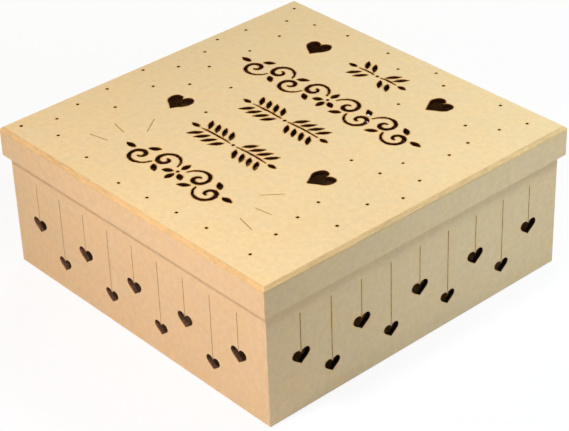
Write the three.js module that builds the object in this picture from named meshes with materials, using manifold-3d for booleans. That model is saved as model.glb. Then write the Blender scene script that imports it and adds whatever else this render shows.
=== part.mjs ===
// A square keepsake box with a lift-off lid, laser-cut from thin fibreboard and glued at mitred corners.
// Units are millimetres and +Z is up. The origin is the centre of the box's underside.
// The front wall faces -Y, and the ornament on the lid is laid out to be seen from the front.

import * as THREE from "three";
import { mergeVertices } from "three/addons/utils/BufferGeometryUtils.js";
import Module from "manifold-3d";

const wasm = await Module();
wasm.setup();

// Driving dimensions of the box

const LID_SIDE = 250; // outside of the square lid
const CLOSED_HEIGHT = 100; // underside of the box to the top of the lid
const LID_HEIGHT = 20.5; // top of the lid to the lower edge of its rim
const BOARD_THICKNESS = 3; // the sheet that every piece is cut from
const LID_PLAY = 0.7; // free space between the lid's rim and a wall
const GLUE_THICKNESS = 0.1; // film between two glued faces
const SEAT_GAP = 0.1; // between the lid's panel and the walls that it rests on
const CHAMFER_WIDTH = 2; // sanded off the lid's top edge, at 45 degrees

// Hearts that hang on fine cut lines in each wall

const HEARTS_PER_WALL = 9;
const OUTER_HEART_INSET = 25.3; // end of a wall to the middle of its first heart
const HIGH_HEART_WIDTH = 13.8;
const HIGH_HEART_HEIGHT = 9.9;
const HIGH_TIP_HEIGHT = 32.8; // the heart's tip over the box's underside
const LOW_HEART_WIDTH = 12.2;
const LOW_HEART_HEIGHT = 9.1;
const LOW_TIP_HEIGHT = 15;
const STRING_DROP = 11.5; // lower edge of the lid's rim to the top of a cut line
const STRING_BRIDGE_WIDTH = 1; // uncut board between a line and the heart under it

// Cut-outs in the lid's panel

const KERF_WIDTH = 0.35; // width of a line that is a single pass of the laser
const LID_HEART_WIDTH = 17.5;
const LID_HEART_HEIGHT = 17.2;
const CLEFT_SHARE = 0.23; // depth of a heart's cleft over the heart's height
const DOT_DIAMETER = 2;
const BRIDGE_WIDTH = 1.4; // least board left between two cut-outs of the ornament

const SCROLL_REACH = 11.4; // a scroll's start to its eye
const SCROLL_EYE_RADIUS = 1.9; // radius at which a scroll ends
const SCROLL_TURNS = 1.3;
const SCROLL_PITCH = 16.4; // from one scroll's eye to the next
const SCROLL_RISE = 3.1; // a scroll's eye over or under the row's middle
const SCROLL_STROKE_WIDTH = 2.9; // widest cut of a scroll
const SCROLL_LEAF_LENGTH = 9.2;
const SCROLL_LEAF_WIDTH = 4.2;
const SCROLL_LEAF_LEAN = 215; // degrees from the row's direction

const PETAL_LENGTH = 8;
const PETAL_WIDTH = 4.4;
const PETAL_LEANS = [90, 270, 210, 330]; // degrees: up, down, and down to each side
const BUD_RADIUS = 1.2;

const BRANCH_STROKE_WIDTH = 1.4; // widest cut of a stem
const BRANCH_LEAF_LENGTH = 11.2;
const BRANCH_LEAF_WIDTH = 3.6;
const BRANCH_LEAF_LEAN = 52; // degrees from the stem
const BRANCH_LEAF_PITCH = 6.6;
const BRANCH_TIP_LENGTH = 7.6; // the leaf at the end of a stem

// Sizes that follow

const bodySide = LID_SIDE - 2 * (BOARD_THICKNESS + LID_PLAY);
const rimHeight = LID_HEIGHT - BOARD_THICKNESS - GLUE_THICKNESS;
const rimBottom = CLOSED_HEIGHT - LID_HEIGHT;
const panelBottom = CLOSED_HEIGHT - BOARD_THICKNESS;
const wallHeight = panelBottom - SEAT_GAP;
const mitreSetback = GLUE_THICKNESS / Math.SQRT2;
const overcut = BOARD_THICKNESS; // how far a cutter passes each face of a board

// Places on the lid are hundredths of its side, from its middle: [to the right, to the back].
// Tilts are degrees.

const LID_HEARTS = [
  { place: [-23.9, 34.3], tilt: 15 },
  { place: [20.4, 34.5], tilt: -13.5 },
  { place: [-27.5, -10.4], tilt: 14 },
  { place: [25.1, -10.3], tilt: -14 },
];

const RAYS = [
  { from: [-25.2, -20], to: [-21.5, -25.2] },
  { from: [-30.5, -28.5], to: [-25.4, -29.5] },
  { from: [-30.8, -36], to: [-25.2, -34.8] },
  { from: [24.3, -20.5], to: [20.5, -25] },
  { from: [28.7, -28.7], to: [23.8, -29.5] },
  { from: [30.2, -36.1], to: [24.6, -34.8] },
];

const DOTS = {
  alongBack: [
    [-45.6, 46], [-34.3, 43.2], [-23.3, 45.1], [-8.5, 45.7], [-0.4, 41.4],
    [8.2, 46.7], [14.2, 43.2], [31.4, 45.9], [42.2, 43.8],
  ],
  leftSide: [
    [-41.5, 39.5], [-36.3, 32.1], [-45.4, 28.1], [-35.6, 20.9], [-46.7, 19.1], [-43.7, 12.1],
    [-36.5, 7.6], [-42.3, 1.9], [-32.8, -2.1], [-47.5, -5.9], [-38.7, -9.5], [-46.1, -18.8],
    [-37, -23.2], [-45, -29.1], [-42.8, -37.3],
  ],
  rightSide: [
    [39.4, 36.8], [32.1, 32.4], [38.3, 26.7], [39.1, 19.4], [33.9, 8.9], [42.3, 6],
    [33.3, 1.7], [45, -2.2], [41.1, -10], [32.4, -17.4], [42.8, -21.2], [33.8, -25.2], [35.6, -33.5],
  ],
  between: [[12.8, 28.4], [-23.8, 4.2], [24.2, 1.1], [-18.6, -8.6]],
  alongFront: [
    [-46.2, -45.8], [-35.8, -42], [-22.3, -43.4], [-7.4, -45.2], [2.6, -44.5], [12.5, -43.7],
    [22.4, -43], [37.6, -43],
  ],
};

const ROW_MIDDLE = -1.4; // the rows' common middle, to the right of the lid's
const SCROLL_ROWS = [
  { height: 17.2, scrollsPerSide: 4 },
  { height: -31.9, scrollsPerSide: 2 },
];
const BRANCH_ROWS = [
  { height: 34.8, leavesPerSide: 2 },
  { height: 2.6, leavesPerSide: 4 },
  { height: -14.4, leavesPerSide: 4 },
];

// Straight pieces that stand for a curve

const SCROLL_STEPS = 22;
const STEM_STEPS = 6;
const LEAF_STEPS = 4; // on each edge of a leaf
const LID_HEART_STEPS = 7; // on each of the three curves down one side of a heart
const WALL_HEART_STEPS = 4;
const DOT_SIDES = 10;
const BUD_SIDES = 8;

// Materials

const boardFace = new THREE.MeshStandardMaterial({ color: 0xeacf9f, roughness: 0.72, metalness: 0 });
const wallFace = new THREE.MeshStandardMaterial({ color: 0xe0bf8e, roughness: 0.74, metalness: 0 });
const baseFace = new THREE.MeshStandardMaterial({ color: 0xd8b888, roughness: 0.78, metalness: 0 });

// Solids

function solidOf(geometry) {
  const bare = geometry.clone();
  bare.deleteAttribute("normal");
  bare.deleteAttribute("uv");
  const merged = mergeVertices(bare, 1e-4);
  return new wasm.Manifold(
    new wasm.Mesh({
      numProp: 3,
      vertProperties: merged.attributes.position.array,
      triVerts: new Uint32Array(merged.index.array),
    }),
  );
}

function geometryOf(solid) {
  const mesh = solid.getMesh();
  const geometry = new THREE.BufferGeometry();
  geometry.setAttribute("position", new THREE.BufferAttribute(mesh.vertProperties, 3));
  geometry.setIndex(new THREE.BufferAttribute(mesh.triVerts, 1));
  const faceted = geometry.toNonIndexed();
  faceted.computeVertexNormals();
  return faceted;
}

function extruded(shape, depth) {
  return new THREE.ExtrudeGeometry(shape, { depth, bevelEnabled: false });
}

function cutThrough(board, cutters) {
  const remaining = cutters.reduce((left, cutter) => left.subtract(solidOf(cutter)), solidOf(board));
  return geometryOf(remaining);
}

// Outlines of cut-outs

function placed(points, x, y, degrees = 0, flipX = 1, flipY = 1) {
  const middle = new THREE.Vector2(0, 0);
  const turn = THREE.MathUtils.degToRad(degrees);
  return new THREE.Shape(
    points.map((p) => {
      const turned = p.clone().rotateAround(middle, turn);
      return new THREE.Vector2(x + flipX * turned.x, y + flipY * turned.y);
    }),
  );
}

// A heart that stands on its tip at the origin: from the cleft over the right lobe to the tip, and back.
function heartPoints(width, height, divisions) {
  const outline = new THREE.Path();
  const half = width / 2;
  const cleft = height * CLEFT_SHARE;
  const lobeX = half * 0.54;
  const shoulderY = height * 0.66;
  outline.moveTo(0, height - cleft);
  outline.bezierCurveTo(half * 0.06, height - cleft * 0.3, half * 0.26, height, lobeX, height);
  outline.bezierCurveTo(half * 0.8, height, half, height * 0.86, half, shoulderY);
  outline.bezierCurveTo(half, height * 0.42, half * 0.42, height * 0.26, 0, 0);
  const right = outline.getPoints(divisions);
  const left = right
    .slice(1, -1)
    .reverse()
    .map((p) => new THREE.Vector2(-p.x, p.y));
  return [...right, ...left];
}

// A leaf from the origin along x, widest a little nearer its root.
function leafPoints(length, width) {
  const outline = new THREE.Path();
  const widest = length * 0.45;
  outline.moveTo(0, 0);
  outline.quadraticCurveTo(widest, -width, length, 0);
  outline.quadraticCurveTo(widest, width, 0, 0);
  return outline.getPoints(LEAF_STEPS).slice(0, -1);
}

function discPoints(radius, sides) {
  const round = new THREE.EllipseCurve(0, 0, radius, radius);
  return round.getPoints(sides).slice(0, -1);
}

// A cut that follows a curve: thin where it starts, widest in the middle and thin again at its end.
function strokePoints(curve, width, steps) {
  const oneSide = [];
  const otherSide = [];
  for (let i = 0; i <= steps; i += 1) {
    const t = i / steps;
    const middle = curve.getPoint(t);
    const along = curve.getTangent(t);
    const swell = Math.sin(Math.PI * THREE.MathUtils.lerp(0.06, 0.94, t)) ** 0.6;
    const half = (width / 2) * swell;
    oneSide.push(new THREE.Vector2(middle.x - along.y * half, middle.y + along.x * half));
    otherSide.unshift(new THREE.Vector2(middle.x + along.y * half, middle.y - along.x * half));
  }
  return [...oneSide, ...otherSide];
}

function linePoints(from, to, width) {
  const line = new THREE.LineCurve(new THREE.Vector2(...from), new THREE.Vector2(...to));
  const across = line.getTangent(0).rotateAround(new THREE.Vector2(), Math.PI / 2).multiplyScalar(width / 2);
  return [
    line.v1.clone().add(across),
    line.v1.clone().sub(across),
    line.v2.clone().sub(across),
    line.v2.clone().add(across),
  ];
}

// A spiral round the origin: it starts on the left, goes over the top and winds in.
class Scroll extends THREE.Curve {
  getPoint(t, target = new THREE.Vector2()) {
    const angle = Math.PI - 2 * Math.PI * SCROLL_TURNS * t;
    const radius = SCROLL_REACH * (SCROLL_EYE_RADIUS / SCROLL_REACH) ** t;
    return target.set(radius * Math.cos(angle), radius * Math.sin(angle));
  }
}

// Rows of ornament

function blossom(x, y) {
  const petal = leafPoints(PETAL_LENGTH, PETAL_WIDTH);
  const root = new THREE.Vector2(BUD_RADIUS + BRIDGE_WIDTH, 0);
  const petals = PETAL_LEANS.map((lean) => {
    const start = root.clone().rotateAround(new THREE.Vector2(), THREE.MathUtils.degToRad(lean));
    return placed(petal, x + start.x, y + start.y, lean);
  });
  return [...petals, placed(discPoints(BUD_RADIUS, BUD_SIDES), x, y)];
}

// Scrolls that curl by turns over and under the row's middle, each with a leaf in its free corner.
function scrollRow(x, y, scrollsPerSide) {
  const scroll = strokePoints(new Scroll(), SCROLL_STROKE_WIDTH, SCROLL_STEPS);
  const leaf = leafPoints(SCROLL_LEAF_LENGTH, SCROLL_LEAF_WIDTH);
  const firstEye = SCROLL_REACH + PETAL_WIDTH / 2 + 1.5 * BRIDGE_WIDTH;
  const lastEye = firstEye + (scrollsPerSide - 1) * SCROLL_PITCH;
  const endLeaf = lastEye + (SCROLL_REACH + SCROLL_STROKE_WIDTH) / 2 + BRIDGE_WIDTH;
  const shapes = blossom(x, y);
  for (const side of [-1, 1]) {
    for (let i = 0; i < scrollsPerSide; i += 1) {
      const up = i % 2 ? -1 : 1;
      const eyeX = x + side * (firstEye + i * SCROLL_PITCH);
      shapes.push(placed(scroll, eyeX, y + up * SCROLL_RISE, 0, side, up));
      const rootX = eyeX + (side * SCROLL_LEAF_WIDTH) / 2;
      const rootY = y - up * (SCROLL_RISE + BRIDGE_WIDTH);
      shapes.push(placed(leaf, rootX, rootY, SCROLL_LEAF_LEAN, side, up));
    }
    shapes.push(placed(leaf, x + side * endLeaf, y, 0, side));
  }
  return shapes;
}

function branchRow(x, y, leavesPerSide) {
  const stemLength = BRANCH_LEAF_PITCH * (leavesPerSide + 0.2);
  const stem = new THREE.QuadraticBezierCurve(
    new THREE.Vector2(0, 0),
    new THREE.Vector2(stemLength / 2, BRIDGE_WIDTH),
    new THREE.Vector2(stemLength, 0),
  );
  const stemPoints = strokePoints(stem, BRANCH_STROKE_WIDTH, STEM_STEPS);
  const leaf = leafPoints(BRANCH_LEAF_LENGTH, BRANCH_LEAF_WIDTH);
  const tipLeaf = leafPoints(BRANCH_TIP_LENGTH, BRANCH_LEAF_WIDTH);
  const shapes = [placed(discPoints(BUD_RADIUS, BUD_SIDES), x, y)];
  for (const side of [-1, 1]) {
    const rootX = x + side * (BUD_RADIUS + BRIDGE_WIDTH);
    shapes.push(placed(stemPoints, rootX, y, 0, side));
    shapes.push(placed(tipLeaf, rootX + side * (stemLength + BRIDGE_WIDTH), y, 0, side));
    for (let i = 0; i < leavesPerSide; i += 1) {
      for (const up of [-1, 1]) {
        const leafX = rootX + side * BRANCH_LEAF_PITCH * (i + 0.4);
        const leafY = y + up * (BRANCH_STROKE_WIDTH / 2 + BRIDGE_WIDTH);
        shapes.push(placed(leaf, leafX, leafY, BRANCH_LEAF_LEAN, side, up));
      }
    }
  }
  return shapes;
}

// Pieces

// A strip with both ends mitred. Its outer face lies on y = 0, its length along x.
function mitredStrip(outerLength, height) {
  const outer = outerLength / 2 - mitreSetback;
  const inner = outer - BOARD_THICKNESS;
  const plan = new THREE.Shape();
  plan.moveTo(-outer, 0);
  plan.lineTo(outer, 0);
  plan.lineTo(inner, BOARD_THICKNESS);
  plan.lineTo(-inner, BOARD_THICKNESS);
  return extruded(plan, height);
}

function hangingHeartShapes() {
  const pitch = (bodySide - 2 * OUTER_HEART_INSET) / (HEARTS_PER_WALL - 1);
  const stringTop = rimBottom - STRING_DROP;
  const shapes = [];
  for (let i = 0; i < HEARTS_PER_WALL; i += 1) {
    const high = i % 2 === 0;
    const width = high ? HIGH_HEART_WIDTH : LOW_HEART_WIDTH;
    const height = high ? HIGH_HEART_HEIGHT : LOW_HEART_HEIGHT;
    const tip = high ? HIGH_TIP_HEIGHT : LOW_TIP_HEIGHT;
    const x = pitch * (i - (HEARTS_PER_WALL - 1) / 2);
    const stringBottom = tip + height * (1 - CLEFT_SHARE) + STRING_BRIDGE_WIDTH;
    shapes.push(placed(heartPoints(width, height, WALL_HEART_STEPS), x, tip));
    shapes.push(placed(linePoints([0, stringBottom], [0, stringTop], KERF_WIDTH), x, 0));
  }
  return shapes;
}

function wallGeometry() {
  const cutters = hangingHeartShapes().map((shape) => {
    const cutter = extruded(shape, BOARD_THICKNESS + 2 * overcut);
    cutter.rotateX(Math.PI / 2);
    cutter.translate(0, BOARD_THICKNESS + overcut, 0);
    return cutter;
  });
  return cutThrough(mitredStrip(bodySide, wallHeight), cutters);
}

function lidPanelShapes() {
  const onLid = ([right, back]) => [(LID_SIDE * right) / 100, (LID_SIDE * back) / 100];
  const rowAt = (row) => onLid([ROW_MIDDLE, row.height]);
  const heart = heartPoints(LID_HEART_WIDTH, LID_HEART_HEIGHT, LID_HEART_STEPS).map(
    (p) => new THREE.Vector2(p.x, p.y - LID_HEART_HEIGHT / 2),
  );
  const dot = discPoints(DOT_DIAMETER / 2, DOT_SIDES);
  return [
    ...LID_HEARTS.map(({ place, tilt }) => placed(heart, ...onLid(place), tilt)),
    ...RAYS.map(({ from, to }) => placed(linePoints(onLid(from), onLid(to), KERF_WIDTH), 0, 0)),
    ...Object.values(DOTS)
      .flat()
      .map((place) => placed(dot, ...onLid(place))),
    ...SCROLL_ROWS.flatMap((row) => scrollRow(...rowAt(row), row.scrollsPerSide)),
    ...BRANCH_ROWS.flatMap((row) => branchRow(...rowAt(row), row.leavesPerSide)),
  ];
}

// The panel is a four-sided turning, whose profile runs to the corners, over the chamfer and back.
function lidPanelGeometry() {
  const corner = LID_SIDE / Math.SQRT2;
  const profile = [
    new THREE.Vector2(0, 0),
    new THREE.Vector2(corner, 0),
    new THREE.Vector2(corner, BOARD_THICKNESS - CHAMFER_WIDTH),
    new THREE.Vector2(corner - CHAMFER_WIDTH * Math.SQRT2, BOARD_THICKNESS),
    new THREE.Vector2(0, BOARD_THICKNESS),
  ];
  const blank = new THREE.LatheGeometry(profile, 4);
  blank.rotateX(Math.PI / 2);
  blank.rotateZ(Math.PI / 4);
  const cutters = lidPanelShapes().map((shape) => {
    const cutter = extruded(shape, BOARD_THICKNESS + 2 * overcut);
    cutter.translate(0, 0, -overcut);
    return cutter;
  });
  return cutThrough(blank, cutters);
}

// Assembly

const SIDES = ["front", "right", "back", "left"];

function onEachSide(group, geometry, material, side, nameOf) {
  SIDES.forEach((name, quarter) => {
    const turned = new THREE.Group();
    turned.rotation.z = (quarter * Math.PI) / 2;
    const piece = new THREE.Mesh(geometry, material);
    piece.name = nameOf(name);
    piece.position.y = -side / 2;
    turned.add(piece);
    group.add(turned);
  });
}

const box = new THREE.Group();
const baseSide = bodySide - 2 * (BOARD_THICKNESS + GLUE_THICKNESS);
const base = new THREE.Mesh(new THREE.BoxGeometry(baseSide, baseSide, BOARD_THICKNESS), baseFace);
base.name = "base_panel";
base.position.z = BOARD_THICKNESS / 2;
box.add(base);
onEachSide(box, wallGeometry(), wallFace, bodySide, (side) => `${side}_wall`);

const lid = new THREE.Group();
lid.position.z = panelBottom;
const panel = new THREE.Mesh(lidPanelGeometry(), boardFace);
panel.name = "lid_panel";
lid.add(panel);
const rim = new THREE.Group();
rim.position.z = -GLUE_THICKNESS - rimHeight;
onEachSide(rim, mitredStrip(LID_SIDE, rimHeight), wallFace, LID_SIDE, (side) => `lid_${side}_rim`);
lid.add(rim);

const keepsakeBox = new THREE.Group();
keepsakeBox.add(box, lid);

export default keepsakeBox;
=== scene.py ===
"""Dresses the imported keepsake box: sanded fibreboard with laser-burnt cut-outs, in a white studio.

Lengths are in metres, +Z is up, and the front wall faces -Y.
"""

import math

import bmesh
import bpy
from mathutils import Matrix, Quaternion, Vector


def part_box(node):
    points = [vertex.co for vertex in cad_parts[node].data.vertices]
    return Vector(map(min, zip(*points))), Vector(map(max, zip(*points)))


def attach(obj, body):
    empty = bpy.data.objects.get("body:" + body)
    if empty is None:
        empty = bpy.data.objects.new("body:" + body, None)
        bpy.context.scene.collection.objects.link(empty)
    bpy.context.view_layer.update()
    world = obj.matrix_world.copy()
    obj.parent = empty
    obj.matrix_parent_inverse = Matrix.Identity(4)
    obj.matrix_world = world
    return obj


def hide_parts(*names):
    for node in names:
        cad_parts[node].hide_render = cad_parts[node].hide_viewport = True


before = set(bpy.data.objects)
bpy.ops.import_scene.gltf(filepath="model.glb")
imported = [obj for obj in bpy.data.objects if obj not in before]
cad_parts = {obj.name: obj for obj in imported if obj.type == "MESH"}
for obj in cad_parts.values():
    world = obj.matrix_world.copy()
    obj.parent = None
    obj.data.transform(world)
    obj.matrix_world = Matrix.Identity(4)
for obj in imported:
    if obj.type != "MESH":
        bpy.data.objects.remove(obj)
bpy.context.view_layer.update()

MM = 0.001
UP = Vector((0, 0, 1))

# The box's main sizes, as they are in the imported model

half_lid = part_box("lid_panel")[1].x
lid_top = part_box("lid_panel")[1].z
panel_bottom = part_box("lid_panel")[0].z
rim_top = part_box("lid_front_rim")[1].z
rim_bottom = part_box("lid_front_rim")[0].z
rim_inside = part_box("lid_right_rim")[0].x
half_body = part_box("right_wall")[1].x
wall_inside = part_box("right_wall")[0].x
wall_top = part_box("right_wall")[1].z
half_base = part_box("base_panel")[1].x
base_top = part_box("base_panel")[1].z

BOARD_THICKNESS = 3 * MM
CHAMFER_WIDTH = 2 * MM  # of the lid's top edge

# How the boards are finished

MERGE_DISTANCE = 0.002 * MM
SLICE_TOLERANCE = 0.0001 * MM
BODY_CORNER_RADIUS = 0.5 * MM
LID_CORNER_RADIUS = 0.9 * MM
ARRIS_RADIUS = 0.35 * MM  # a long edge, broken with sandpaper
CHAMFER_ARRIS_DEPTH = 0.07 * MM  # taken off the two blunt edges of the lid's chamfer
ROUNDING_LEANS = (22.5, 45, 67.5)  # degrees: the flats that round an edge
GLUE_FILM = 0.1 * MM  # the play that is left in each joint
GLUE_SETBACK = 0.3 * MM  # a glue line lies this far under the sanded faces
SCORCH_REACH = 1.6 * MM  # how far the browning looks for a cut behind the face
SCORCH_STRENGTH = {"lid": 1.0, "front_and_back": 0.08, "sides": 0.4}
UNPIERCED_BORDER = 5 * MM  # along the edges of a pierced board

# The six fine rays of the lid lie in two fields, and one quick pass of the laser browns less beside them
RAY_FIELD_MIDDLE = 65 * MM, -70 * MM  # to the right, and a mirrored one to the left
RAY_FIELD_HALF_SIZE = 14.5 * MM, 23 * MM
RAY_SCORCH_SHARE = 0.3

OUTWARD = {
    "front": Vector((0, -1, 0)),
    "right": Vector((1, 0, 0)),
    "back": Vector((0, 1, 0)),
    "left": Vector((-1, 0, 0)),
}

# Colours as they look on a screen, red, green and blue from 0 to 1

LID_TONE = (0.942, 0.835, 0.628)
WALL_TONE = (0.87, 0.755, 0.575)
BASE_TONE = (0.85, 0.72, 0.53)
EDGE_TONE = (0.88, 0.74, 0.515)
TOASTED_TINT = (0.98, 0.875, 0.68)  # multiplies the board's own tone
CHARRED_TINT = (0.62, 0.48, 0.34)
WARM_TINT = (1.0, 0.987, 0.965)  # of the face's small patches
COOL_TINT = (0.989, 0.992, 1.0)
CLOUD_TINT = (0.984, 0.984, 0.984)  # of its large, faint clouds
NO_TINT = (1.0, 1.0, 1.0)
GLUE_TONE = (0.80, 0.63, 0.42)

# The walls of the laser cuts: the tone deep in the cut, and the tone near the sheet's outer face. The side
# walls' pair is painted shade and the front and back pair is painted light: copies of one burnt colour,
# made darker or paler for how the lamps fall on each side.
LID_CUT_TONES = (0.20, 0.11, 0.055), (0.34, 0.19, 0.085)
FRONT_AND_BACK_CUT_TONES_PAINTED_LIGHT = (0.42, 0.30, 0.25), (0.70, 0.50, 0.35)
SIDE_CUT_TONES_PAINTED_SHADE = (0.085, 0.05, 0.038), (0.24, 0.145, 0.09)


def linear(tone):
    """A screen colour as the shader's linear one, with its alpha."""
    return tuple((c / 12.92 if c <= 0.04045 else ((c + 0.055) / 1.055) ** 2.4) for c in tone) + (1.0,)


def shade(tone, share):
    """A screen colour made darker or paler by a share of itself."""
    return tuple(min(1.0, c * share) for c in tone)


class Nodes:
    """The shader nodes of a material or of the world, empty at first."""

    def __init__(self, owner):
        owner.use_nodes = True
        self.tree = owner.node_tree
        self.tree.nodes.clear()

    def put(self, kind, inputs=None, **settings):
        """Adds a node, sets what it is, and fills its inputs with values or with other nodes' outputs."""
        node = self.tree.nodes.new(kind)
        for key, value in settings.items():
            setattr(node, key, value)
        for key, value in (inputs or {}).items():
            if isinstance(value, bpy.types.NodeSocket):
                self.tree.links.new(value, node.inputs[key])
            else:
                node.inputs[key].default_value = value
        return node

    def place(self, shift=(0, 0, 0), stretch=(1, 1, 1)):
        """Object coordinates, moved and stretched."""
        coordinates = self.put("ShaderNodeTexCoord").outputs["Object"]
        return self.put(
            "ShaderNodeMapping", {"Vector": coordinates, "Location": shift, "Scale": stretch}
        ).outputs["Vector"]

    def laid(self, lean, size, shift):
        """Object coordinates in steps of a strand's length and widths; the strands lean by degrees."""
        coordinates = self.put("ShaderNodeTexCoord").outputs["Object"]
        return self.put(
            "ShaderNodeMapping",
            {
                "Vector": coordinates,
                "Location": shift,
                "Rotation": [math.radians(angle) for angle in lean],
                "Scale": size,
            },
            vector_type="TEXTURE",
        ).outputs["Vector"]

    def noise(self, where, scale, detail=2.0, roughness=0.5):
        """Soft random spots, about scale of them to a metre."""
        return self.put(
            "ShaderNodeTexNoise",
            {"Vector": where, "Scale": scale, "Detail": detail, "Roughness": roughness, "Distortion": 0.0},
        ).outputs["Fac"]

    def spread(self, value, low, high, to_low=0.0, to_high=1.0):
        """Maps low..high onto to_low..to_high, and holds it there."""
        return self.put(
            "ShaderNodeMapRange",
            {"Value": value, "From Min": low, "From Max": high, "To Min": to_low, "To Max": to_high},
        ).outputs["Result"]

    def calculate(self, operation, first, second=0.0):
        """Works out one value from another, or from two."""
        return self.put("ShaderNodeMath", {0: first, 1: second}, operation=operation).outputs[0]

    def blend(self, share, first, second, kind="MIX"):
        """Mixes two colours."""
        mix = self.put("ShaderNodeMix", {"Factor": share}, data_type="RGBA", blend_type=kind)
        for socket, colour in ((mix.inputs[6], first), (mix.inputs[7], second)):
            if isinstance(colour, bpy.types.NodeSocket):
                self.tree.links.new(colour, socket)
            else:
                socket.default_value = colour
        return mix.outputs[2]

    def tinted(self, colour, tint):
        """One colour multiplied by another."""
        return self.blend(1.0, colour, tint, "MULTIPLY")

    def marked(self, colour, marks, strength, tone):
        """A colour with marks of another tone laid over it."""
        return self.blend(self.calculate("MULTIPLY", marks, strength), colour, linear(tone))

    def bump(self, height, strength, distance):
        """Tiny hollows and ridges, at most a distance deep."""
        return self.put(
            "ShaderNodeBump", {"Height": height, "Strength": strength, "Distance": distance}
        ).outputs["Normal"]


class Finish(Nodes):
    """One material, built up node by node."""

    def __init__(self, name):
        self.material = bpy.data.materials.new(name)
        super().__init__(self.material)

    def surface(self, colour, roughness, normal, gloss=0.3):
        """Ends the material in its shader."""
        shader = self.put(
            "ShaderNodeBsdfPrincipled",
            {
                "Base Color": colour,
                "Roughness": roughness,
                "Normal": normal,
                "Specular IOR Level": gloss,
            },
        )
        self.put("ShaderNodeOutputMaterial", {"Surface": shader.outputs["BSDF"]})
        return self.material


# Finishes

LAYER_CROWDING = 9.0  # the layers in a bare edge lie this much closer across the sheet
RIDGE_CROWDING = 0.06  # the ridges in a laser cut are this much less crowded along the beam

# How far each pattern is moved, so that no two kinds of surface show the same spots
LID_SHIFT = (0.1, 1.7, 2.3)
WALL_SHIFT = (0.7, 0.2, 0.4)
RIM_SHIFT = (1.3, 2.1, 0.9)
BASE_SHIFT = (2.9, 0.6, 1.1)
FLAT_EDGE_SHIFT = (0.4, 0.9, 0.2)
UPRIGHT_EDGE_SHIFT = (0.2, 0.5, 0.8)
CUT_SHIFT = (1.1, 0.3, 0.6)
FIBRE_SHIFT = 0.31  # from one direction of the fibres to the next

# Six directions, evenly spread, so that fibres lie in every plane
FIBRE_LEANS = ((0, 0, 58), (0, 0, 122), (0, 32, 0), (0, -32, 0), (0, 58, 90), (0, -58, 90))


def fibres(finish, shift, length, width, low, high):
    """Short fibres pressed together in all directions."""
    total = None
    for number, lean in enumerate(FIBRE_LEANS):
        moved = (shift[0] + FIBRE_SHIFT * number, shift[1], shift[2])
        where = finish.laid(lean, (length, width, width), moved)
        strand = finish.spread(finish.noise(where, 1.0, 1.0, 0.4), low, high)
        total = strand if total is None else finish.calculate("MAXIMUM", total, strand)
    return total


def within(finish, value, middle, half_size):
    """1 where the value is less than half a size from the middle, and 0 elsewhere."""
    off_middle = finish.calculate("ABSOLUTE", finish.calculate("SUBTRACT", value, middle))
    return finish.calculate("LESS_THAN", off_middle, half_size)


def scorch(finish, mottle, cuts):
    """How much the laser has browned the face: most at a cut's edge, and none a millimetre from it."""
    depth_behind = finish.put(
        "ShaderNodeAmbientOcclusion", {"Distance": SCORCH_REACH}, samples=8, inside=True, only_local=True
    ).outputs["AO"]
    near = finish.spread(depth_behind, 0.52, 0.90, 1.0, 0.0)

    coordinates = finish.put("ShaderNodeTexCoord").outputs["Object"]
    x, y, height = finish.put("ShaderNodeSeparateXYZ", {"Vector": coordinates}).outputs
    across = finish.calculate("ABSOLUTE", x)
    along = finish.calculate("ABSOLUTE", y)
    if cuts == "lid":
        off_centre = finish.calculate("MAXIMUM", across, along)
        pierced = finish.calculate("LESS_THAN", off_centre, half_lid - UNPIERCED_BORDER)
        by_rays = finish.calculate(
            "MULTIPLY",
            within(finish, across, RAY_FIELD_MIDDLE[0], RAY_FIELD_HALF_SIZE[0]),
            within(finish, y, RAY_FIELD_MIDDLE[1], RAY_FIELD_HALF_SIZE[1]),
        )
        left_by_rays = finish.spread(by_rays, 0.0, 1.0, 1.0, RAY_SCORCH_SHARE)
        pierced = finish.calculate("MULTIPLY", pierced, left_by_rays)
    else:
        off_centre = finish.calculate("MINIMUM", across, along)
        pierced = finish.calculate(
            "MULTIPLY",
            finish.calculate("LESS_THAN", off_centre, half_body - UNPIERCED_BORDER),
            within(finish, height, wall_top / 2, wall_top / 2 - UNPIERCED_BORDER),
        )
    strength = finish.calculate("MULTIPLY", pierced, SCORCH_STRENGTH[cuts])
    near = finish.calculate("MULTIPLY", near, strength)
    return finish.calculate("MULTIPLY", near, finish.spread(mottle, 0.42, 0.60, 0.35, 1.0))


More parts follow.
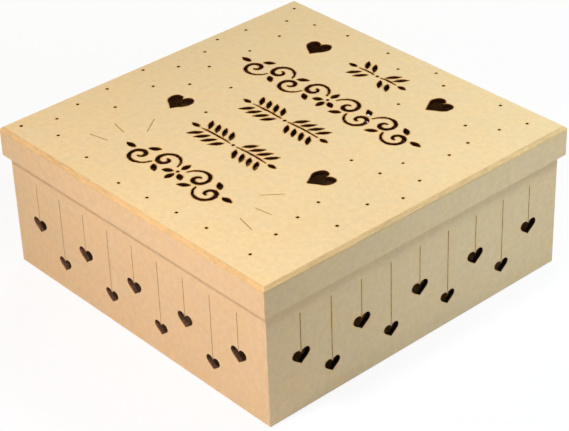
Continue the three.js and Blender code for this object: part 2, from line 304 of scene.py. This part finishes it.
def board_face(name, tone, shift, cuts=None):
    """The sheet's sanded face: low mottle, short fibres and fine specks, scorched beside a laser cut."""
    finish = Finish(name)
    here = finish.place(shift)
    second_shift = shift[1:] + shift[:1]
    third_shift = shift[2:] + shift[:2]
    cloud = finish.noise(here, 14, 2.0)
    warmth = finish.noise(finish.place(second_shift), 62, 2.0, 0.5)
    mottle = finish.noise(here, 230, 3.0, 0.55)
    flecks = finish.noise(finish.place(third_shift), 620, 2.0, 0.5)
    pale_fibres = fibres(finish, shift, 2.4 * MM, 0.5 * MM, 0.60, 0.78)
    dark_fibres = fibres(finish, third_shift, 2.0 * MM, 0.42 * MM, 0.62, 0.80)
    specks = finish.spread(finish.noise(here, 1500, 1.0, 0.3), 0.70, 0.80)

    colour = finish.blend(
        finish.spread(mottle, 0.34, 0.66), linear(shade(tone, 0.978)), linear(shade(tone, 1.02))
    )
    patches = finish.blend(finish.spread(warmth, 0.34, 0.66), linear(COOL_TINT), linear(WARM_TINT))
    colour = finish.tinted(colour, patches)
    clouds = finish.blend(finish.spread(cloud, 0.3, 0.7), linear(CLOUD_TINT), linear(NO_TINT))
    colour = finish.tinted(colour, clouds)
    colour = finish.blend(finish.spread(flecks, 0.5, 0.72, 0.0, 0.30), colour, linear(shade(tone, 0.93)))
    colour = finish.marked(colour, pale_fibres, 0.22, shade(tone, 1.06))
    colour = finish.marked(colour, dark_fibres, 0.22, shade(tone, 0.86))
    colour = finish.marked(colour, specks, 0.45, shade(tone, 0.72))
    if cuts:
        scorched = scorch(finish, mottle, cuts)
        toasted = finish.spread(scorched, 0.0, 0.45)
        charred = finish.spread(scorched, 0.25, 0.9)
        colour = finish.blend(toasted, colour, finish.tinted(colour, linear(TOASTED_TINT)))
        colour = finish.blend(charred, colour, finish.tinted(colour, linear(CHARRED_TINT)))

    height = finish.calculate("SUBTRACT", pale_fibres, dark_fibres)
    height = finish.calculate("ADD", height, finish.noise(here, 2600, 2.0, 0.6))
    normal = finish.bump(height, 0.16, 0.05 * MM)
    return finish.surface(colour, finish.spread(mottle, 0.3, 0.7, 0.74, 0.88), normal)


def stretched(axis, share):
    """A scale that differs from 1 along one axis."""
    return [share if number == axis else 1.0 for number in range(3)]


def board_edge(name, tone, shift, layer_axis):
    """The sheet's coarser heart, bare where an edge is sawn or sanded: more colour, and faint layers."""
    finish = Finish(name)
    layers = finish.noise(finish.place(shift, stretched(layer_axis, LAYER_CROWDING)), 140, 3.0, 0.6)
    grain = finish.noise(finish.place(shift), 620, 3.0, 0.65)
    patches = finish.noise(finish.place(shift), 42, 2.0)
    pits = finish.spread(finish.noise(finish.place(shift), 1700, 1.0, 0.4), 0.66, 0.78)

    colour = finish.blend(
        finish.spread(layers, 0.32, 0.68), linear(shade(tone, 0.93)), linear(shade(tone, 1.05))
    )
    colour = finish.blend(finish.spread(grain, 0.42, 0.70, 0.0, 0.30), colour, linear(shade(tone, 0.84)))
    colour = finish.blend(finish.spread(patches, 0.40, 0.64, 0.0, 0.35), colour, linear(shade(tone, 1.09)))
    colour = finish.marked(colour, pits, 0.5, shade(tone, 0.62))

    height = finish.calculate("SUBTRACT", grain, pits)
    normal = finish.bump(height, 0.35, 0.08 * MM)
    return finish.surface(colour, finish.spread(grain, 0.3, 0.7, 0.80, 0.94), normal, 0.2)


def burnt_cut(name, through_axis, outside, tones):
    """The wall of a laser cut: lighter near the sheet's outer face and darker deeper in the cut, with
    ridges along the beam.
    """
    finish = Finish(name)
    deep_cut_tone, outer_cut_tone = tones
    ridges = finish.noise(finish.place(CUT_SHIFT, stretched(through_axis, RIDGE_CROWDING)), 1400, 2.0, 0.6)
    smoke = finish.noise(finish.place(CUT_SHIFT), 260, 3.0, 0.6)
    ash = finish.noise(finish.place(CUT_SHIFT[2:] + CUT_SHIFT[:2]), 420, 2.0, 0.5)

    coordinates = finish.put("ShaderNodeTexCoord").outputs["Object"]
    across = finish.put("ShaderNodeSeparateXYZ", {"Vector": coordinates}).outputs[through_axis]
    depth = finish.calculate("SUBTRACT", outside, finish.calculate("ABSOLUTE", across))
    ragged = finish.calculate("ADD", depth, finish.spread(smoke, 0.3, 0.7, -0.5 * MM, 0.5 * MM))
    # the share of the darker tone grows with depth into the cut
    charred = finish.spread(ragged, -0.2 * MM, 1.2 * MM, 0.1, 1.0)

    ashy, sooty = linear(shade(outer_cut_tone, 1.15)), linear(shade(deep_cut_tone, 0.75))
    colour = finish.blend(charred, linear(outer_cut_tone), linear(deep_cut_tone))
    colour = finish.blend(finish.spread(ash, 0.54, 0.70, 0.0, 0.3), colour, ashy)
    colour = finish.blend(finish.spread(ridges, 0.45, 0.68, 0.0, 0.6), colour, sooty)
    normal = finish.bump(ridges, 0.5, 0.12 * MM)
    return finish.surface(colour, finish.spread(smoke, 0.3, 0.7, 0.82, 0.95), normal, 0.05)


def dried_glue(name):
    """Wood glue that has dried clear and a little amber in a joint."""
    finish = Finish(name)
    here = finish.place()
    runs = finish.noise(here, 330, 2.0, 0.5)
    colour = finish.blend(runs, linear(shade(GLUE_TONE, 0.82)), linear(shade(GLUE_TONE, 1.08)))
    normal = finish.bump(runs, 0.2, 0.1 * MM)
    return finish.surface(colour, finish.spread(runs, 0.3, 0.7, 0.35, 0.55), normal, 0.5)


# Boards

FACE, EDGE, CUT = range(3)
FLAT = 0.999  # a cosine: above it, a facet lies in the board's sanded face
SQUARE = 0.02  # a cosine: below it, a facet stands square to the sanded face


def merged_board(node):
    """A copy of a packed board, with its doubled corners merged."""
    board = bmesh.new()
    board.from_mesh(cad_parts[node].data)
    bmesh.ops.remove_doubles(board, verts=board.verts, dist=MERGE_DISTANCE)
    board.normal_update()
    return board


def slice_off(board, point, outward):
    """Sands away what lies beyond a plane, and closes the cut."""
    everything = board.verts[:] + board.edges[:] + board.faces[:]
    sliced = bmesh.ops.bisect_plane(
        board, geom=everything, dist=SLICE_TOLERANCE, plane_co=point, plane_no=outward, clear_outer=True
    )
    rim = [part for part in sliced["geom_cut"] if isinstance(part, bmesh.types.BMEdge)]
    if rim:
        bmesh.ops.holes_fill(board, edges=rim, sides=0)


def round_edge(board, centre, first, second, radius):
    """Rounds the edge between two faces, which look in the first and second direction, in narrow flats."""
    for lean in ROUNDING_LEANS:
        outward = math.cos(math.radians(lean)) * first + math.sin(math.radians(lean)) * second
        slice_off(board, centre + radius * outward, outward)


def round_upright_corners(board, half_side, radius):
    """Rounds the square's four upright corners."""
    for direction in OUTWARD.values():
        following = UP.cross(direction)
        centre = (half_side - radius) * (direction + following)
        round_edge(board, centre, direction, following, radius)


def finish_faces(board):
    """Splits the faces of many sides that the slicing left, and turns all faces outwards."""
    many_sided = [face for face in board.faces if len(face.verts) > 4]
    bmesh.ops.triangulate(board, faces=many_sided)
    bmesh.ops.recalc_face_normals(board, faces=board.faces)
    board.normal_update()


def add_object(name, data):
    """Puts a mesh, a lamp or a camera into the scene."""
    added = bpy.data.objects.new(name, data)
    bpy.context.scene.collection.objects.link(added)
    return added


def finished_piece(name, board, materials):
    """Turns a worked board into an object."""
    for face in board.faces:
        face.smooth = face.material_index == CUT
    mesh = bpy.data.meshes.new(name)
    board.to_mesh(mesh)
    board.free()
    for material in materials:
        mesh.materials.append(material)
    return add_object(name, mesh)


def dress_upright_board(node, side, half_side, radius, body, materials, rounded_heights):
    """A wall of the box or a strip of the lid's rim: rounded corner, broken edges, charred cut-outs."""
    outward = OUTWARD[side]
    low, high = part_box(node)
    board = merged_board(node)
    round_upright_corners(board, half_side, radius)
    outside = outward * (half_side - ARRIS_RADIUS)
    inside = outward * (half_side - BOARD_THICKNESS + ARRIS_RADIUS)
    for height, upward in rounded_heights:
        level = upward * UP
        middle = UP * (height - upward * ARRIS_RADIUS)
        round_edge(board, outside + middle, outward, level, ARRIS_RADIUS)
        round_edge(board, inside + middle, -outward, level, ARRIS_RADIUS)
    finish_faces(board)

    for face in board.faces:
        facing = face.normal.dot(outward)
        middle = face.calc_center_median()
        along = abs(middle.cross(outward).z)
        off_edge = min(half_side - along, middle.z - low.z, high.z - middle.z)
        if abs(facing) > FLAT:
            face.material_index = FACE
        elif abs(facing) < SQUARE and off_edge > UNPIERCED_BORDER:
            face.material_index = CUT
        else:
            face.material_index = EDGE
    dressed(node, board, body, materials)


def dress_lid_panel(materials):
    """The lid's pierced panel: rounded corners, a sanded chamfer, and charred cut-outs."""
    board = merged_board("lid_panel")
    round_upright_corners(board, half_lid, LID_CORNER_RADIUS)
    chamfer_top = half_lid - CHAMFER_WIDTH
    chamfer_bottom = lid_top - CHAMFER_WIDTH
    for direction in OUTWARD.values():
        chamfer = (direction + UP).normalized()
        for arris, neighbour in (
            (direction * chamfer_top + UP * lid_top, UP),
            (direction * half_lid + UP * chamfer_bottom, direction),
        ):
            between = (chamfer + neighbour).normalized()
            slice_off(board, arris - CHAMFER_ARRIS_DEPTH * between, between)
        ridge = (direction + UP.cross(direction) + 2 * UP).normalized()
        ridge_top = (direction + UP.cross(direction)) * chamfer_top + UP * lid_top
        slice_off(board, ridge_top - CHAMFER_ARRIS_DEPTH * ridge, ridge)
    finish_faces(board)

    for face in board.faces:
        middle = face.calc_center_median()
        off_edge = half_lid - max(abs(middle.x), abs(middle.y))
        if abs(face.normal.z) > FLAT:
            face.material_index = FACE
        elif abs(face.normal.z) < SQUARE and off_edge > UNPIERCED_BORDER:
            face.material_index = CUT
        else:
            face.material_index = EDGE
    dressed("lid_panel", board, "lid", materials)


def dress_base_panel(materials):
    """The plain square that closes the box underneath."""
    board = merged_board("base_panel")
    for direction in OUTWARD.values():
        centre = direction * (half_base - ARRIS_RADIUS) + UP * ARRIS_RADIUS
        round_edge(board, centre, direction, -UP, ARRIS_RADIUS)
    finish_faces(board)
    for face in board.faces:
        face.material_index = FACE if abs(face.normal.z) > FLAT else EDGE
    dressed("base_panel", board, "box", materials)


def dressed(node, board, body, materials):
    """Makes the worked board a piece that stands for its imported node."""
    piece = finished_piece("finished_" + node, board, materials)
    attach(piece, body)
    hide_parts(node)


# Glue lines

def glue_piece(name, joint, body, material):
    """Makes a film of glue a piece of its own."""
    bmesh.ops.recalc_face_normals(joint, faces=joint.faces)
    piece = finished_piece(name, joint, [material])
    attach(piece, body)


def corner_glue(name, inside, half_side, bottom, top, body, material):
    """The film in four mitred corners."""
    joint = bmesh.new()
    inner = Vector((inside, inside, 0))
    outer = Vector((half_side - GLUE_SETBACK, half_side - GLUE_SETBACK, 0))
    size = Vector(((outer - inner).length, GLUE_FILM, top - bottom - 2 * GLUE_SETBACK))
    centre = (inner + outer) / 2 + UP * (top + bottom) / 2
    for quarter in range(4):
        film = bmesh.ops.create_cube(joint, size=1)["verts"]
        bmesh.ops.scale(joint, vec=size, verts=film)
        bmesh.ops.rotate(joint, matrix=Matrix.Rotation(math.radians(45), 3, "Z"), verts=film)
        bmesh.ops.translate(joint, vec=centre, verts=film)
        bmesh.ops.rotate(joint, matrix=Matrix.Rotation(math.radians(90 * quarter), 3, "Z"), verts=film)
    glue_piece(name, joint, body, material)


def ring_glue(name, outside, inside, bottom, top, body, material):
    """A square ring of glue."""
    joint = bmesh.new()
    bmesh.ops.create_circle(joint, cap_ends=True, segments=4, radius=outside * math.sqrt(2))
    bmesh.ops.rotate(joint, matrix=Matrix.Rotation(math.radians(45), 3, "Z"), verts=joint.verts)
    middle = joint.faces[:]
    bmesh.ops.inset_region(
        joint, faces=middle, thickness=outside - inside, use_boundary=True, use_even_offset=True
    )
    bmesh.ops.delete(joint, geom=middle, context="FACES_ONLY")
    bmesh.ops.translate(joint, vec=UP * bottom, verts=joint.verts)
    raised = bmesh.ops.extrude_face_region(joint, geom=joint.faces[:], use_keep_orig=True)["geom"]
    raised_corners = [part for part in raised if isinstance(part, bmesh.types.BMVert)]
    bmesh.ops.translate(joint, vec=UP * (top - bottom), verts=raised_corners)
    glue_piece(name, joint, body, material)


def make_box():
    """All that rides on the two bodies."""
    wall_faces = (
        board_face("sanded_side_wall_face", WALL_TONE, WALL_SHIFT, "sides"),
        board_face("sanded_front_and_back_face", WALL_TONE, WALL_SHIFT, "front_and_back"),
    )
    rim_face = board_face("sanded_rim_face", WALL_TONE, RIM_SHIFT)
    lid_face = board_face("sanded_lid_face", LID_TONE, LID_SHIFT, "lid")
    base_face = board_face("sanded_base_face", BASE_TONE, BASE_SHIFT)
    flat_edge = board_edge("sanded_edge_of_flat_board", EDGE_TONE, FLAT_EDGE_SHIFT, 2)
    edges = (
        board_edge("sanded_edge_across_x", WALL_TONE, UPRIGHT_EDGE_SHIFT, 0),
        board_edge("sanded_edge_across_y", WALL_TONE, UPRIGHT_EDGE_SHIFT, 1),
    )
    # The side walls' cut colour carries painted shade and the front and back one painted light: one burnt
    # colour, darker or paler for how the lamps fall on each side.
    wall_cuts = (
        burnt_cut("burnt_cut_in_side_walls_painted_shade", 0, half_body, SIDE_CUT_TONES_PAINTED_SHADE),
        burnt_cut("burnt_cut_in_front_and_back_painted_light", 1, half_body, FRONT_AND_BACK_CUT_TONES_PAINTED_LIGHT),
    )
    lid_cut = burnt_cut("burnt_cut_in_lid", 2, lid_top, LID_CUT_TONES)
    glue = dried_glue("dried_wood_glue")

    for side, outward in OUTWARD.items():
        axis = 0 if abs(outward.x) > 0.5 else 1
        dress_upright_board(
            side + "_wall",
            side,
            half_body,
            BODY_CORNER_RADIUS,
            "box",
            [wall_faces[axis], edges[axis], wall_cuts[axis]],
            rounded_heights=((0, -1), (wall_top, 1)),
        )
        dress_upright_board(
            "lid_" + side + "_rim",
            side,
            half_lid,
            LID_CORNER_RADIUS,
            "lid",
            [rim_face, edges[axis]],
            rounded_heights=((rim_bottom, -1),),
        )
    dress_lid_panel([lid_face, flat_edge, lid_cut])
    dress_base_panel([base_face, flat_edge])

    corner_glue("box_corner_glue", wall_inside, half_body, 0, wall_top, "box", glue)
    corner_glue("lid_corner_glue", rim_inside, half_lid, rim_bottom, rim_top, "lid", glue)
    ring_glue(
        "lid_panel_glue",
        half_lid - GLUE_SETBACK,
        rim_inside,
        rim_top,
        panel_bottom,
        "lid",
        glue,
    )
    ring_glue(
        "base_panel_glue",
        wall_inside,
        half_base,
        GLUE_SETBACK,
        base_top - GLUE_SETBACK,
        "box",
        glue,
    )


# Studio

EYE = Vector((0.78102, -0.67657, 0.69658))
AIM = Vector((0.00018, 0.00020, 0.03421))
CAMERA_ROLL = -2.114  # degrees
LENS = 121.64  # millimetres
SENSOR_WIDTH = 36  # millimetres
SEEN_DISTANCES = 0.01, 20

FLOOR_RADIUS = 4.0
FLOOR_SIDES = 96
FLOOR_DROP = 0.3 * MM  # below the box's underside, so that the two don't coincide
FLOOR_WHITE = 0.82
SHADOW_SHARE = 0.17  # how much of its real light and shade the floor shows close to the box
SHADOW_FADE = 0.22, 0.65  # over these distances from the middle of the box the floor turns plain white
AMBIENT = (0.15, 0.15, 0.15)

# Each lamp: its name, place, aim, size, colour and power in watts
LAMPS = (
    ("front_fill", (0.12, -0.62, 0.16), (0.03, -0.12, 0.05), 0.24, (1.0, 0.889, 0.953), 1.12),
    ("front_key", (0.07, -0.40, 0.54), (0.03, -0.12, 0.08), 0.07, (1.0, 0.880, 0.845), 1.90),
    ("right_key", (0.28, 0.28, 0.50), (0.10, 0.06, 0.09), 0.16, (0.766, 0.895, 1.0), 1.676),
    ("right_fill", (0.46, 0.10, 0.08), (0.12, 0.03, 0.04), 0.2, (0.538, 0.762, 1.0), 0.453),
    ("rear_softbox", (-0.85, 0.85, 0.27), (-0.05, 0.05, 0.05), 0.6, (1.0, 0.939, 0.783), 11.5),
)


def seen_directly(nodes):
    """1 where the camera, a reflection or something clear shows it, and 0 where it only lights others."""
    path = nodes.put("ShaderNodeLightPath").outputs
    seen = nodes.calculate("MAXIMUM", path["Is Camera Ray"], path["Is Glossy Ray"])
    return nodes.calculate("MAXIMUM", seen, path["Is Transmission Ray"])


def make_floor():
    """A white floor that shows a soft share of the box's shadow."""
    finish = Finish("white_floor")
    seen = seen_directly(finish)
    white = finish.blend(seen, (FLOOR_WHITE, FLOOR_WHITE, FLOOR_WHITE, 1), (1, 1, 1, 1))
    paint = finish.put("ShaderNodeBsdfDiffuse", {"Color": white})
    glow = finish.put("ShaderNodeEmission", {"Color": (1, 1, 1, 1), "Strength": 1.0})
    coordinates = finish.put("ShaderNodeTexCoord").outputs["Object"]
    distance = finish.put("ShaderNodeVectorMath", {0: coordinates}, operation="LENGTH").outputs["Value"]
    near, far = SHADOW_FADE
    share = finish.calculate("MULTIPLY", seen, finish.spread(distance, near, far, 1 - SHADOW_SHARE, 1.0))
    mix = finish.put(
        "ShaderNodeMixShader", {0: share, 1: paint.outputs["BSDF"], 2: glow.outputs["Emission"]}
    )
    finish.put("ShaderNodeOutputMaterial", {"Surface": mix.outputs["Shader"]})

    ground = bmesh.new()
    bmesh.ops.create_circle(ground, cap_ends=True, segments=FLOOR_SIDES, radius=FLOOR_RADIUS)
    bmesh.ops.translate(ground, vec=-FLOOR_DROP * UP, verts=ground.verts)
    for face in ground.faces:
        if face.normal.z < 0:
            face.normal_flip()
    mesh = bpy.data.meshes.new("studio_floor")
    ground.to_mesh(mesh)
    ground.free()
    mesh.materials.append(finish.material)
    add_object("studio_floor", mesh)


def make_world():
    """White where it is seen, and a plain soft light where it shines on the box."""
    world = bpy.data.worlds.new("studio_world")
    bpy.context.scene.world = world
    nodes = Nodes(world)
    light = nodes.put("ShaderNodeBackground", {"Color": AMBIENT + (1,)})
    backdrop = nodes.put("ShaderNodeBackground", {"Color": (1, 1, 1, 1)})
    mix = nodes.put(
        "ShaderNodeMixShader",
        {0: seen_directly(nodes), 1: light.outputs["Background"], 2: backdrop.outputs["Background"]},
    )
    nodes.put("ShaderNodeOutputWorld", {"Surface": mix.outputs["Shader"]})


def set_up(name, data, place, aim):
    """Puts a lamp or the camera in its place and turns it to its aim."""
    added = add_object(name, data)
    added.location = place
    added.rotation_mode = "QUATERNION"
    added.rotation_quaternion = (Vector(aim) - Vector(place)).to_track_quat("-Z", "Y")
    return added


def make_lamps():
    """Round soft lamps, which the camera doesn't see."""
    for name, place, aim, size, colour, power in LAMPS:
        data = bpy.data.lights.new(name, "AREA")
        data.shape = "DISK"
        data.size = size
        data.color = colour
        data.energy = power
        lamp = set_up(name, data, place, aim)
        lamp.visible_camera = False


def make_camera():
    """The camera, in the place that the photo was taken from."""
    data = bpy.data.cameras.new("studio_camera")
    data.sensor_width = SENSOR_WIDTH
    data.lens = LENS
    data.clip_start, data.clip_end = SEEN_DISTANCES
    camera = set_up("studio_camera", data, EYE, AIM)
    roll = Quaternion((0, 0, 1), math.radians(CAMERA_ROLL))
    camera.rotation_quaternion = camera.rotation_quaternion @ roll
    bpy.context.scene.camera = camera


make_box()
make_floor()
make_world()
make_lamps()
make_camera()
bpy.context.scene.view_settings.view_transform = "Standard"
